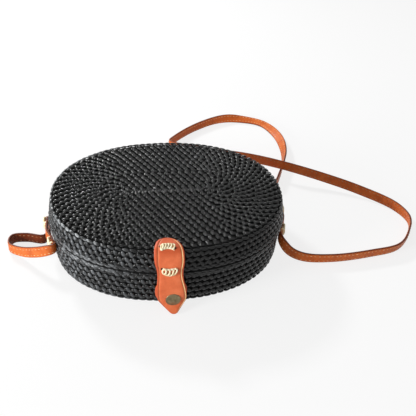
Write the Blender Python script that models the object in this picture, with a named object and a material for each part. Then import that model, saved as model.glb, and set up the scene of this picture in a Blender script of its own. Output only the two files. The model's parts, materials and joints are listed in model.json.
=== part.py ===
"""An oval rattan bag: a woven base and hinged lid, a leather closure with a press stud, and a leather strap.

Metres, +Z up. The origin is on the floor under the middle of the oval, which is longest along X.
The closure faces -Y and the hinge is at the back, at +Y.
"""
import math

import bmesh
import bpy
from mathutils import Vector

# The basket
body_length = 0.241
body_width = 0.198
body_height = 0.065
seam_share = 0.62154
oval_power = 2.16
oval_sides = 48
wall = 0.0045
gap = 0.0003

# Insets are measured inwards from the lid's hoop, which is the widest line of the bag
foot_inset = 0.0036
foot_radius = 0.0040
base_top_inset = 0.0022
base_hoop_inset = 0.0010
hoop_height = 0.0046
hoop_rounding = 0.0012
lid_foot_inset = 0.0005
rim_inset = 0.0023
rim_radius = 0.0055
inner_radius = 0.0025
lining_thickness = 0.0008
lining_setback = 0.0025
corner_steps = 4
smooth_turn = 35

# The rows of the weave, with a groove between each two. On the two faces they run round a straight middle
groove_depth = 0.0012
groove_width = 0.0030
face_rows = 14
outer_row_share = 0.904
inner_row_share = 0.033
middle_share = 0.332
base_groove_shares = [0.2, 0.4, 0.6, 0.8]
lid_groove_shares = [0.35, 0.74]

# The hinge: an axis behind the seam, and two bindings of cane wound round it
hinge_setback = 0.0017
lashing_share = 0.1825
lashing_width = 0.0070
lashing_reach = 0.0044
lashing_thickness = 0.0018
lashing_rounding = 0.0005
lashing_sides = 20

# The closure, one strip of leather that is a tab on the lid and a flap below its fold
closure_leather = 0.0022
closure_offset = -0.0084
closure_half_width = 0.0141
closure_columns = 6
tab_top_inset = 0.0199
tab_end_radius = 0.0118
tab_end_turns = [15, 30, 45, 60, 75]
tab_lean = 0.0013
fold_lift = 0.0020
fold_straight = 0.0025
snap_height_share = 0.3663
snap_reach = 0.0048
tip_height = 0.0007
tip_reach = 0.0123
tip_drift = 0.0030

# The stitches of straw that go through the leather into the wall
stitch_leg = 0.0020
stitch_bite = 0.0024
stitch_chamfer = 0.0006
stitch_bar = 0.0014
stitch_arch = 0.0005
stitch_columns = 4
tab_stitch_length = 0.0165
tab_stitch_breadth = 0.0064
upper_stitch_place = 0.0128
lower_stitch_clearance = 0.0004

# The patch on the base, which carries the stud
patch_leather = 0.0020
patch_offset = -0.0070
patch_half_width = 0.0152
patch_top_share = 0.7426
patch_bottom_share = 0.1089
patch_power = 2.7
patch_points = 28
patch_stitch_drop = 0.0044
patch_stitch_length = 0.0140
patch_stitch_breadth = 0.0040

# The press stud
snap_offset = -0.0057
snap_clearance = 0.0005
snap_sides = 20
cap_radius = 0.0070
cap_rim = 0.0006
cap_rise = 0.0016
shank_radius = 0.0015
socket_radius = 0.0054
socket_depth = 0.0015
mouth_radius = 0.0029
mouth_depth = 0.0007
stud_flange_radius = 0.0050
stud_flange = 0.0007
knob_radius = 0.0022
knob_rounding = 0.0004
post_flange_radius = 0.0046
post_flange = 0.0007

# The strap and its sewn ends
strap_width = 0.0115
strap_thickness = 0.0022
strap_chamfer = 0.0005
end_back_share = 0.10606
end_front_share = -0.28283
end_back_height_share = 0.70297
end_front_height_share = 0.59406
end_bulge = 0.0022
end_rows = 12
end_round_points = 6
back_stitch_setback = 0.0065
front_stitch_setback = 0.0045
strap_stitch_length = 0.0088
strap_stitch_breadth = 0.0060
cutter_overrun = 0.0040

# The closure's outline and side view, as shares of its lengths: (along, half width), then (height, reach)
tab_flank_shares = [
    (0.32, 0.92), (0.42, 0.985), (0.54, 1.0), (0.675, 1.0), (0.79, 0.96), (0.883, 0.915), (1.0, 0.872),
]
flap_outline_shares = [
    (0.0, 0.872), (0.15, 0.92), (0.27, 0.965), (0.43, 1.0), (0.59, 0.993), (0.68, 0.915), (0.735, 0.79),
    (0.84, 0.56), (0.93, 0.27), (1.0, 0.0),
]
flap_side_shares = [(0.587, 0.38), (0.26, 0.755)]
tip_side_shares = [(0.50, 0.15), (0.24, 0.43)]
stitch_arch_shares = [-0.9, -0.5, 0.0, 0.5, 0.9]
cap_dome_shares = [(1.0, 0.0), (0.86, 0.5), (0.6, 0.85), (0.25, 1.0)]

# The strap's route from the right end to the left: x as a share of the bag's half length, y of its half
# width, height above resting on the floor as a share of the right end's, and lean in degrees
strap_turn = 17
strap_step = 0.045
route_steps = 24
strap_route_shares = [
    (0.9535, -0.2939, 1.0, 0), (0.9436, -0.3354, 0.992, 0), (0.9618, -0.4, 0.758, 0),
    (1.0191, -0.4576, 0.345, 0), (1.1369, -0.5111, 0.056, -3), (1.3942, -0.5495, 0, -8),
    (1.7593, -0.5131, 0, -10), (2.0415, -0.4343, 0, -12), (2.2241, -0.202, 0, 0), (2.3112, 0.0303, 0, 5),
    (2.2573, 0.2929, 0.006, -8), (1.9917, 0.6182, 0.123, -15), (1.683, 0.8515, 0.362, -12),
    (1.2813, 1.0899, 0.674, -4), (0.9793, 1.3768, 0.401, -6), (0.5809, 1.6495, 0.1, -4),
    (0.2573, 1.8465, 0, 0), (0.1925, 1.9141, 0, 0), (0.249, 2.0192, 0, 0), (0.5145, 2.3232, 0, 0),
    (0.8307, 2.5384, 0, 8), (1.112, 2.5576, 0, 60), (1.3278, 2.4394, 0, 74), (1.4382, 2.0909, 0, 60),
    (1.4149, 1.5758, 0, 25), (1.2581, 1.0677, 0, 0), (1.1328, 0.8232, 0, 0), (0.9627, 0.8162, 0, 0),
    (0.5145, 1.0707, 0, 0), (-0.7303, 0.9141, 0, 0), (-1.029, 0.3636, 0, 0), (-1.0257, 0.1263, 0, 0),
    (-1.0705, 0.0475, 0, 0), (-1.2116, 0.0909, 0, 0), (-1.332, 0.0808, 0, 0), (-1.3494, -0.0455, 0, 0),
    (-1.2448, -0.1566, 0.089, 4), (-1.0938, -0.2889, 0.591, 8), (-1.0008, -0.3384, 0.914, 4),
    (-0.9676, -0.3374, 0.969, 0), (-0.9494, -0.3141, 0.997, 0), (-0.9535, -0.2949, 1.0, 0),
]

half_length = body_length / 2
half_width = body_width / 2
seam_height = body_height * seam_share
base_rim = seam_height - gap / 2
lid_rim = seam_height + gap / 2
base_hoop_foot = base_rim - hoop_height
lid_hoop_top = lid_rim + hoop_height
base_top = base_hoop_foot - gap
lid_foot = lid_hoop_top + gap
lashing_place = half_length * lashing_share
lashing_depth = (1 - lashing_share ** oval_power) ** (1 / oval_power)
hinge = Vector((0, half_width * lashing_depth + hinge_setback, seam_height))
fold_height = seam_height + fold_lift
snap_height = seam_height * snap_height_share
patch_top = seam_height * patch_top_share
patch_bottom = seam_height * patch_bottom_share
end_back = half_width * end_back_share
end_front = half_width * end_front_share
end_back_height = seam_height * end_back_height_share
end_front_height = seam_height * end_front_height_share
back_stitch_place = end_back - back_stitch_setback
front_stitch_place = end_front + front_stitch_setback
strap_rise = end_front_height - strap_width / 2 - gap
fold = Vector((closure_offset, -(half_width + closure_leather + gap + gap), fold_height))
upright = Vector((0, 0, 1))


def clear_scene():
    """Empties the scene of whatever it opened with."""
    for thing in list(bpy.data.objects):
        bpy.data.objects.remove(thing)


def make_material(name, colour, roughness, metallic=0.0):
    """A plain surface of one colour."""
    made = bpy.data.materials.new(name)
    made.use_nodes = True
    shader = made.node_tree.nodes["Principled BSDF"]
    shader.inputs["Base Color"].default_value = (*colour, 1)
    shader.inputs["Roughness"].default_value = roughness
    shader.inputs["Metallic"].default_value = metallic
    return made


def make_object(shape, name, finish):
    """Closes a bmesh into a named object with its faces pointing out."""
    shape.normal_update()
    bmesh.ops.recalc_face_normals(shape, faces=shape.faces)
    bmesh.ops.triangulate(shape, faces=shape.faces)
    mesh = bpy.data.meshes.new(name)
    shape.to_mesh(mesh)
    shape.free()
    mesh.shade_smooth()
    mesh.set_sharp_from_angle(angle=math.radians(smooth_turn))
    made = bpy.data.objects.new(name, mesh)
    bpy.context.scene.collection.objects.link(made)
    if finish:
        mesh.materials.append(finish)
    return made


def make_cutter(shape, name):
    """Keeps a shape as a hidden cutter."""
    made = make_object(shape, name, None)
    made.hide_render = True
    made.display_type = "WIRE"
    return made


def cut(target, cutters):
    """Takes each cutter out of the target."""
    for cutter in cutters:
        modifier = target.modifiers.new(cutter.name, "BOOLEAN")
        modifier.operation = "DIFFERENCE"
        modifier.solver = "EXACT"
        modifier.object = cutter


def hang(pivot, pieces):
    """Parents pieces to an empty that stands on their joint's axis, leaving them where they are."""
    for piece in pieces:
        piece.parent = pivot
        piece.location = -pivot.location


def make_pivot(name, place):
    """An empty on a joint's axis."""
    made = bpy.data.objects.new(name, None)
    made.location = place
    bpy.context.scene.collection.objects.link(made)
    return made


def sweep(rings, joined=False):
    """Extrudes the first ring of points through the others, and caps its ends or joins them."""
    shape = bmesh.new()
    ring = [shape.verts.new(point) for point in rings[0]]
    first = [shape.edges.new(pair) for pair in zip(ring, ring[1:] + ring[:1])]
    start = list(ring)
    edges = first
    for points in rings[1:]:
        grown = bmesh.ops.extrude_edge_only(shape, edges=edges)["geom"]
        follow = {tuple(item.co): item for item in grown if isinstance(item, bmesh.types.BMVert)}
        ring = [follow[tuple(corner.co)] for corner in ring]
        edges = [shape.edges.get(pair) for pair in zip(ring, ring[1:] + ring[:1])]
        for corner, point in zip(ring, points):
            corner.co = point
    if joined:
        bmesh.ops.bridge_loops(shape, edges=first + edges)
    else:
        shape.faces.new(start)
        shape.faces.new(ring)
    return shape


def oval_ring(inset, height):
    """The bag's oval at an inset, as a ring of points."""
    ring = []
    for side in range(oval_sides):
        turn = math.tau * side / oval_sides
        along = math.copysign(abs(math.cos(turn)) ** (2 / oval_power), math.cos(turn))
        over = math.copysign(abs(math.sin(turn)) ** (2 / oval_power), math.sin(turn))
        ring.append(Vector(((half_length - inset) * along, (half_width - inset) * over, height)))
    return ring


def face_ring(share, height):
    """A ring on a flat face, between the face's straight middle and the bag's outline."""
    ring = []
    for point in oval_ring(0, height):
        reach = half_length * middle_share
        middle = Vector((min(max(point.x, -reach), reach), 0, height))
        ring.append(middle + (point - middle) * share)
    return ring


def face_rings(height, depth):
    """Rings over a face from its middle out, with a groove between each two rows."""
    rings = []
    pitch = (outer_row_share - inner_row_share) / (face_rows - 1)
    spread = groove_width / 2 / half_width
    for row in range(face_rows - 1):
        share = inner_row_share + pitch * (row + 1 / 2)
        rings.append(face_ring(share - spread, height))
        rings.append(face_ring(share, height + depth))
        rings.append(face_ring(share + spread, height))
    return rings


def grooved_wall(inset_at, foot, top, shares):
    """Profile of the grooves up a wall between two heights."""
    points = []
    for share in shares:
        middle = foot + (top - foot) * share
        for side, depth in ((-1, 0), (0, groove_depth), (1, 0)):
            height = middle + side * groove_width / 2
            points.append((inset_at(height) + depth, height))
    return points


def corner_arc(inset, height, radius, start, end):
    """Points (inset, height) round a corner whose centre is given, between two angles in quarter turns."""
    points = []
    for step in range(corner_steps + 1):
        angle = math.pi / 2 * (start + (end - start) * step / corner_steps)
        points.append((inset - radius * math.cos(angle), height + radius * math.sin(angle)))
    return points


def grooved_arc(inset, height, radius, start, end):
    """Points round a corner, with a groove on either side of its middle row."""
    crests = corner_arc(inset, height, radius, start, end)
    grooves = corner_arc(inset, height, radius - groove_depth, start, end)
    return [groove if step % 2 else crest for step, (crest, groove) in enumerate(zip(crests, grooves))]


def base_inset(height):
    """Inset of the base's outer face, which leans out from its foot to its rim."""
    share = (height - foot_radius) / (seam_height - foot_radius)
    return foot_inset + (base_top_inset - foot_inset) * share


def lid_inset(height):
    """Inset of the lid's outer face, which leans in from its hoop to its rim."""
    share = (height - lid_foot) / (body_height - rim_radius - lid_foot)
    return lid_foot_inset + (rim_inset - lid_foot_inset) * share


def base_inner_profile(depth, top):
    """Profile of a tub face at a depth inside the base's outer face, from its top down to its floor."""
    floor = depth
    turn_height = floor + inner_radius
    turn_inset = base_inset(turn_height) + depth + inner_radius
    wall_points = [(base_inset(top) + depth, top)]
    return wall_points + corner_arc(turn_inset, turn_height, inner_radius, 0, -1)


def lid_inner_profile(depth, foot):
    """Profile of a face at a depth inside the lid's outer face, from its foot up to its ceiling."""
    ceiling = body_height - depth
    turn_height = ceiling - inner_radius
    turn_inset = lid_inset(turn_height) + depth + inner_radius
    return [(lid_inset(foot) + depth, foot)] + corner_arc(turn_inset, turn_height, inner_radius, 0, 1)


def make_base_shell(finish):
    """The woven tub."""
    outside = grooved_arc(foot_inset + foot_radius, foot_radius, foot_radius, -1, 0)
    outside += grooved_wall(base_inset, foot_radius, base_top, base_groove_shares)
    profile = outside + [(base_inset(base_top), base_top)] + base_inner_profile(wall, base_top)
    rings = face_rings(0, groove_depth) + [oval_ring(*point) for point in profile]
    return make_object(sweep(rings), "base_shell", finish)


def make_lid_shell(finish):
    """The woven lid."""
    rim_foot = body_height - rim_radius
    outside = grooved_arc(rim_inset + rim_radius, rim_foot, rim_radius, 1, 0)
    outside += reversed(grooved_wall(lid_inset, lid_foot, rim_foot, lid_groove_shares))
    profile = outside + [(lid_inset(lid_foot), lid_foot)] + lid_inner_profile(wall, lid_foot)
    rings = face_rings(body_height, -groove_depth) + [oval_ring(*point) for point in profile]
    return make_object(sweep(rings), "lid_shell", finish)


def make_hoop(name, sizes, finish):
    """A bound hoop that edges the base or the lid, rounded on its outer face."""
    outer, inner, foot, top = sizes
    profile = [
        (outer + hoop_rounding, foot), (outer, foot + hoop_rounding), (outer, top - hoop_rounding),
        (outer + hoop_rounding, top), (inner, top), (inner, foot),
    ]
    return make_object(sweep([oval_ring(*point) for point in profile], joined=True), name, finish)


def make_base_lining(finish):
    """The cloth inside the tub."""
    top = seam_height - lining_setback
    outside = base_inner_profile(wall + gap, top)
    inside = base_inner_profile(wall + gap + lining_thickness, top)
    rings = [oval_ring(*point) for point in reversed(outside)] + [oval_ring(*point) for point in inside]
    return make_object(sweep(rings), "base_lining", finish)


def make_lid_lining(finish):
    """The cloth inside the lid."""
    foot = seam_height + lining_setback
    outside = lid_inner_profile(wall + gap, foot)
    inside = lid_inner_profile(wall + gap + lining_thickness, foot)
    rings = [oval_ring(*point) for point in reversed(outside)] + [oval_ring(*point) for point in inside]
    return make_object(sweep(rings), "lid_lining", finish)


def lashing_shape(place, spare):
    """A band wound round the hinge's axis, with some spare on every face."""
    half = lashing_width / 2 + spare
    outer = lashing_reach + lashing_thickness / 2 + spare
    inner = lashing_reach - lashing_thickness / 2 - spare
    section = [
        (-half, inner), (half, inner), (half, outer - lashing_rounding), (half - lashing_rounding, outer),
        (lashing_rounding - half, outer), (-half, outer - lashing_rounding),
    ]
    rings = []
    for side in range(lashing_sides):
        angle = math.tau * side / lashing_sides
        out = Vector((0, math.cos(angle), math.sin(angle)))
        rings.append([hinge + Vector((place + across, 0, 0)) + out * reach for across, reach in section])
    return sweep(rings, joined=True)


def plan_from_x(x, reach):
    """Point and outward direction, seen from above, on the front wall brought out by a reach."""
    share = abs(x / (half_length + reach))
    depth = (1 - share ** oval_power) ** (1 / oval_power)
    along = math.copysign(share ** (oval_power - 1) / (half_length + reach), x)
    over = -depth ** (oval_power - 1) / (half_width + reach)
    return Vector((x, -(half_width + reach) * depth, 0)), Vector((along, over, 0)).normalized()


def plan_from_y(side, y, reach):
    """Point and outward direction, seen from above, on an end wall brought out by a reach."""
    share = abs(y / (half_width + reach))
    depth = (1 - share ** oval_power) ** (1 / oval_power)
    along = side * depth ** (oval_power - 1) / (half_length + reach)
    over = math.copysign(share ** (oval_power - 1) / (half_width + reach), y)
    return Vector((side * (half_length + reach) * depth, y, 0)), Vector((along, over, 0)).normalized()


def with_distance(samples):
    """Gives each sample (reach, height) of a side view its distance along it and its outward tilt."""
    distance = 0
    rows = []
    for index, (reach, height) in enumerate(samples):
        before = samples[max(index - 1, 0)]
        after = samples[min(index + 1, len(samples) - 1)]
        distance += math.dist(before, (reach, height))
        rows.append((distance, reach, height, math.atan2(after[0] - before[0], before[1] - after[1])))
    return rows


def read_row(rows, along):
    """Reach, height and tilt at a distance along a side view."""
    along = min(max(along, 0), rows[-1][0])
    for low, high in zip(rows, rows[1:]):
        if along <= high[0]:
            share = (along - low[0]) / (high[0] - low[0])
            return [first + (second - first) * share for first, second in zip(low[1:], high[1:])]
    return rows[-1][1:]


def tab_side():
    """Side view of the tab's inner face: over the lid's top, round its rim and down to the fold."""
    radius = rim_radius + gap
    middle_reach = -(rim_inset + rim_radius)
    middle_height = body_height - rim_radius
    lean = math.atan2(rim_inset, middle_height - lid_hoop_top)
    samples = [(-tab_top_inset, body_height + gap)]
    for step in range(2 * corner_steps + 1):
        angle = math.pi / 2 + (lean - math.pi / 2) * step / (2 * corner_steps)
        samples.append((middle_reach + radius * math.cos(angle), middle_height + radius * math.sin(angle)))
    return samples + [(gap, lid_hoop_top), (gap, fold_height + gap / 2)]


def smooth_through(points, steps):
    """Points on a smooth curve through the given ones, spaced by the square root of their distance."""
    first = [2 * near - far for near, far in zip(points[0], points[1])]
    last = [2 * near - far for near, far in zip(points[-1], points[-2])]
    whole = [first] + [list(point) for point in points] + [last]
    found = []
    for index in range(1, len(whole) - 2):
        corners = whole[index - 1:index + 3]
        times = [0]
        for near, far in zip(corners, corners[1:]):
            times.append(times[-1] + math.sqrt(math.dist(near[:2], far[:2])))
        for step in range(steps):
            now = times[1] + (times[2] - times[1]) * step / steps
            found.append(mixed_corner(corners, times, now))
    found.append(list(points[-1]))
    return found


def mixed_corner(corners, times, now):
    """One point of the smooth curve, by mixing four corners in pairs."""
    level = corners
    for width in (1, 2, 3):
        mixed = []
        for index in range(len(level) - 1):
            start, end = (times[1], times[2]) if width == 3 else (times[index], times[index + width])
            share = (now - start) / (end - start)
            pairs = zip(level[index], level[index + 1])
            mixed.append([first + (second - first) * share for first, second in pairs])
        level = mixed
    return level[0]


def flap_side():
    """Side view of the flap's inner face: from the fold out over the stud, then away to its tip."""
    top = (gap, fold_height - gap / 2)
    points = [top, (gap, top[1] - fold_straight)]
    for height_share, reach_share in flap_side_shares:
        height = snap_height + (top[1] - snap_height) * height_share
        points.append((top[0] + (snap_reach - top[0]) * reach_share, height))
    points.append((snap_reach, snap_height))
    for height_share, reach_share in tip_side_shares:
        height = tip_height + (snap_height - tip_height) * height_share
        points.append((snap_reach + (tip_reach - snap_reach) * reach_share, height))
    points.append((tip_reach, tip_height))
    return smooth_through(points, 2)


def patch_side():
    """Side view of the patch's inner face, up the base's wall."""
    return [(gap - base_inset(height), height) for height in (patch_top, patch_bottom)]


def front_place(rows, middle):
    """How a piece cut in flat leather lies on the front wall: its distances across, along and out."""

    def place(across, along, rise):
        reach, height, tilt = read_row(rows, along)
        foot, outward = plan_from_x(middle(along) + across, reach)
        facing = outward * math.cos(tilt) + upright * math.sin(tilt)
        return foot + upright * height + facing * rise

    return place


def end_place(side):
    """How a sewn strap end lies on an end wall, bulging between its two stitches."""

    def place(across, along, rise):
        y = end_back - along
        height_share = (y - end_front) / (end_back - end_front)
        height = end_front_height + (end_back_height - end_front_height) * height_share
        share = (back_stitch_place - y) / (back_stitch_place - front_stitch_place)
        bulge = end_bulge * math.sin(math.pi * share) ** 2 if 0 < share < 1 else 0
        foot, outward = plan_from_y(side, y, -base_inset(height + across))
        return foot + upright * (height + across) + outward * (gap + bulge + rise)

    return place


def slab(outline, thickness, columns, rows, place, flip=False):
    """Flat stock cut to an outline, given its thickness, divided so that it can bend, and laid in place.

    The outline is (across, along), or with flip (across, rise), and the thickness is the other way.
    """
    shape = bmesh.new()
    low, high = thickness
    flat = [(first, low, second) if flip else (first, second, low) for first, second in outline]
    face = shape.faces.new([shape.verts.new(point) for point in flat])
    grown = bmesh.ops.extrude_face_region(shape, geom=[face])["geom"]
    lift = (0, high - low, 0) if flip else (0, 0, high - low)
    corners = [item for item in grown if isinstance(item, bmesh.types.BMVert)]
    bmesh.ops.translate(shape, verts=corners, vec=lift)
    for lines, direction in ((columns, (1, 0, 0)), (rows, (0, 1, 0))):
        for line in lines:
            whole = shape.verts[:] + shape.edges[:] + shape.faces[:]
            middle = Vector(direction) * line
            bmesh.ops.bisect_plane(shape, geom=whole, plane_co=middle, plane_no=direction)
    bmesh.ops.recalc_face_normals(shape, faces=shape.faces)
    bmesh.ops.triangulate(shape, faces=shape.faces)
    for corner in shape.verts:
        corner.co = place(*corner.co)
    return shape


def even_lines(low, high, count):
    """Places of the lines that divide a width into equal columns."""
    return [low + (high - low) * (index + 1) / count for index in range(count - 1)]


def tab_outline(length):
    """Half of the tab's outline, from its round top end to the fold: (half width, along)."""
    half = [(0, 0)]
    for turn in tab_end_turns:
        angle = math.radians(turn)
        half.append((tab_end_radius * math.sin(angle), tab_end_radius * (1 - math.cos(angle))))
    return half + [(closure_half_width * wide, length * along) for along, wide in tab_flank_shares]


def flap_outline(length):
    """Half of the flap's outline, from the fold to its pointed tip: (half width, along)."""
    return [(closure_half_width * wide, length * along) for along, wide in flap_outline_shares]


def mirrored(half):
    """Closes half an outline with its mirror image."""
    other = [(-across, along) for across, along in reversed(half) if across]
    return half + other


def superellipse(half_across, half_along, centre_along, power, count):
    """A rounded square of points."""
    outline = []
    for index in range(count):
        turn = math.tau * index / count
        across = math.copysign(abs(math.cos(turn)) ** (2 / power), math.cos(turn))
        along = math.copysign(abs(math.sin(turn)) ** (2 / power), math.sin(turn))
        outline.append((half_across * across, centre_along + half_along * along))
    return outline


def stitch_outline(length, leather):
    """Side view of a stitch: a bar arched over the leather, with a leg at each end that enters the wall."""
    half = length / 2
    under = leather + gap
    top = under + stitch_bar
    foot = -(gap + stitch_bite)
    arched = [(half * share, top + stitch_arch * (1 - share ** 2)) for share in stitch_arch_shares]
    inner = half - stitch_leg
    shoulder = top - stitch_chamfer
    right = [(half, shoulder), (half, foot), (inner, foot), (inner, under)]
    left = [(-inner, under), (-inner, foot), (-half, foot), (-half, shoulder)]
    return arched + right + left


def make_stitch(name, size, along, place, finish):
    """A stitch across the leather, and the cutters for the two holes that its legs go down."""
    length, breadth, leather = size

    def shifted(first, second, rise):
        return place(first, along + second, rise)

    half = length / 2
    columns = even_lines(-half, half, stitch_columns)
    rows = even_lines(-breadth / 2, breadth / 2, stitch_columns)
    outline = stitch_outline(length, leather)
    bar = slab(outline, (-breadth / 2, breadth / 2), columns, rows, shifted, flip=True)
    stitch = make_object(bar, name, finish)
    foot = -(gap + stitch_bite + gap)
    top = leather + gap + stitch_bar
    holes = []
    for side, middle in (("left", (stitch_leg - length) / 2), ("right", (length - stitch_leg) / 2)):
        low = middle - stitch_leg / 2 - gap
        high = middle + stitch_leg / 2 + gap
        outline = [(low, foot), (high, foot), (high, top), (low, top)]
        leg = slab(outline, (-breadth / 2 - gap, breadth / 2 + gap), [], rows, shifted, flip=True)
        holes.append(make_cutter(leg, name + "_hole_" + side))
    return stitch, holes


def turned(profile, foot, facing):
    """A turned piece: its profile (radius, rise) spun about an axis that rises from a point."""
    side = facing.orthogonal().normalized()
    other = facing.cross(side)
    rings = []
    for radius, rise in profile:
        ring = []
        for index in range(snap_sides):
            angle = math.tau * index / snap_sides
            ring.append(foot + facing * rise + (side * math.cos(angle) + other * math.sin(angle)) * radius)
        rings.append(ring)
    return sweep(rings)


def axis_at(place, across, along, thickness):
    """Foot and direction of an axis square to the leather."""
    foot = place(across, along, 0)
    return foot, (place(across, along, thickness) - foot).normalized()


def make_tab(finishes, walls):
    """The tab sewn to the lid by two stitches, whose holes go on into the wall."""
    rows = with_distance(tab_side())
    length = rows[-1][0]

    def middle(along):
        return closure_offset + tab_lean * (1 - along / length) ** 2

    place = front_place(rows, middle)
    columns = even_lines(-closure_half_width, closure_half_width, closure_columns)
    lines = [row[0] for row in rows[1:-1]]
    shape = slab(mirrored(tab_outline(length)), (0, closure_leather), columns, lines, place)
    tab = make_object(shape, "closure_tab", finishes["leather"])
    lower_stitch_place = length - lower_stitch_clearance - tab_stitch_breadth / 2
    pieces = [tab]
    places = {"tab_stitch_upper": upper_stitch_place, "tab_stitch_lower": lower_stitch_place}
    for name, along in places.items():
        size = (tab_stitch_length, tab_stitch_breadth, closure_leather)
        stitch, holes = make_stitch(name, size, along, place, finishes["straw"])
        pieces.append(stitch)
        for piece in [tab] + walls:
            cut(piece, holes)
    return pieces


def make_flap(finishes):
    """The flap below the fold, and the foot and direction of the press stud's axis through it."""
    rows = with_distance(flap_side())
    length = rows[-1][0]

    def middle(along):
        return closure_offset + tip_drift * (along / length) ** 1.5

    place = front_place(rows, middle)
    columns = even_lines(-closure_half_width, closure_half_width, closure_columns)
    lines = [row[0] for row in rows[1:-1]]
    shape = slab(mirrored(flap_outline(length)), (0, closure_leather), columns, lines, place)
    flap = make_object(shape, "closure_flap", finishes["leather"])
    along = min(rows, key=lambda row: abs(row[2] - snap_height))[0]
    return flap, axis_at(place, snap_offset - middle(along), along, closure_leather)


def make_patch(finishes, base_shell):
    """The patch sewn to the base, and the foot and direction of the press stud's axis through it."""
    rows = with_distance(patch_side())
    place = front_place(rows, lambda along: patch_offset)
    half_height = rows[-1][0] / 2
    outline = superellipse(patch_half_width, half_height, half_height, patch_power, patch_points)
    columns = even_lines(-patch_half_width, patch_half_width, closure_columns)
    shape = slab(outline, (0, patch_leather), columns, [], place)
    patch = make_object(shape, "base_tab", finishes["leather"])
    size = (patch_stitch_length, patch_stitch_breadth, patch_leather)
    along = patch_stitch_drop
    stitch, holes = make_stitch("base_tab_stitch", size, along, place, finishes["straw"])
    cut(patch, holes)
    cut(base_shell, holes)
    return patch, axis_at(place, snap_offset - patch_offset, patch_top - snap_height, patch_leather)


def make_snap_top(flap, foot, facing, brass):
    """The press stud's cap and socket, with the flap pressed flat between them."""
    top = closure_leather + gap
    height = cap_rise - cap_rim
    dome = [(cap_radius * wide, top + cap_rim + height * high) for wide, high in cap_dome_shares]
    cap_profile = [(shank_radius, 0), (shank_radius, top), (cap_radius, top)] + dome
    cap = make_object(turned(cap_profile, foot, facing), "snap_cap", brass)
    socket_foot = -gap - socket_depth
    socket_profile = [
        (socket_radius, -gap), (socket_radius, socket_foot), (mouth_radius, socket_foot),
        (mouth_radius, socket_foot + mouth_depth),
    ]
    socket = make_object(turned(socket_profile, foot, facing), "snap_socket", brass)
    seat = [
        (socket_radius + gap, -cutter_overrun), (socket_radius + gap, 0), (shank_radius + gap, 0),
        (shank_radius + gap, closure_leather), (cap_radius + gap, closure_leather),
        (cap_radius + gap, closure_leather + cutter_overrun),
    ]
    cut(flap, [make_cutter(turned(seat, foot, facing), "flap_snap_seat")])
    return cap, socket


def make_snap_bottom(walls, foot, facing, socket_face, brass):
    """The press stud's stud on the patch, held by a post from behind it."""
    flange_foot = patch_leather + gap
    flange_top = flange_foot + stud_flange
    bore_top = flange_top + gap
    knob_top = (socket_face - foot).dot(facing) - snap_clearance
    stud_profile = [
        (shank_radius + gap, bore_top), (shank_radius + gap, flange_foot),
        (stud_flange_radius, flange_foot), (stud_flange_radius, flange_top),
        (knob_radius, flange_top), (knob_radius, knob_top - knob_rounding),
        (knob_radius - knob_rounding, knob_top),
    ]
    make_object(turned(stud_profile, foot, facing), "snap_stud", brass)
    post_foot = -gap - post_flange
    post_profile = [
        (post_flange_radius, post_foot), (post_flange_radius, -gap), (shank_radius, -gap),
        (shank_radius, bore_top - gap),
    ]
    make_object(turned(post_profile, foot, facing), "snap_post", brass)
    pocket = [
        (post_flange_radius + gap, post_foot - gap), (post_flange_radius + gap, 0), (shank_radius + gap, 0),
        (shank_radius + gap, patch_leather), (stud_flange_radius + gap, patch_leather),
        (stud_flange_radius + gap, patch_leather + cutter_overrun),
    ]
    cutter = make_cutter(turned(pocket, foot, facing), "patch_snap_seat")
    for piece in walls:
        cut(piece, [cutter])


def strap_end_outline():
    """Outline of a sewn end: round at the back, square where the strap runs on."""
    half = strap_width / 2
    length = end_back - end_front
    outline = []
    for index in range(end_round_points + 1):
        angle = math.pi * (0.5 + index / end_round_points)
        outline.append((half * math.sin(angle), half + half * math.cos(angle)))
    return outline + [(-half, length), (half, length)]


def strap_stations():
    """Stations of the strap, closer together where it turns: place, direction, lean."""
    route = []
    for x, y, lift, lean in strap_route_shares:
        route.append((x * half_length, y * half_width, lift * strap_rise, lean))
    points = smooth_through(route, route_steps)
    spots = []
    for x, y, lift, lean in points:
        angle = math.radians(lean)
        resting = strap_width / 2 * math.cos(angle) + strap_thickness / 2 * abs(math.sin(angle)) + gap
        spots.append((Vector((x, y, resting + lift)), angle))
    kept = []
    for index, (place, lean) in enumerate(spots):
        before = spots[max(index - 1, 0)][0]
        after = spots[min(index + 1, len(spots) - 1)][0]
        ahead = (after - before).normalized()
        ends = index in (0, len(spots) - 1)
        if not ends:
            far = (place - kept[-1][0]).length > strap_step
            turned_away = ahead.angle(kept[-1][1]) > math.radians(strap_turn)
        if ends or far or turned_away:
            kept.append((place, ahead, lean))
    return kept


def make_strap(finish):
    """The free strap, standing on edge or leaning along its route."""
    half_wide = strap_width / 2
    half_thick = strap_thickness / 2
    inner_wide = half_wide - strap_chamfer
    inner_thick = half_thick - strap_chamfer
    corner = [(half_wide, inner_thick), (inner_wide, half_thick)]
    half_section = corner + [(-wide, thick) for wide, thick in reversed(corner)]
    section = half_section + [(-wide, -thick) for wide, thick in half_section]
    rings = []
    for place, ahead, lean in strap_stations():
        left = upright.cross(ahead).normalized()
        top = ahead.cross(left).normalized()
        wide = top * math.cos(lean) + left * math.sin(lean)
        thick = left * math.cos(lean) - top * math.sin(lean)
        rings.append([place + wide * first + thick * second for first, second in section])
    return make_object(sweep(rings), "shoulder_strap", finish)


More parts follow.
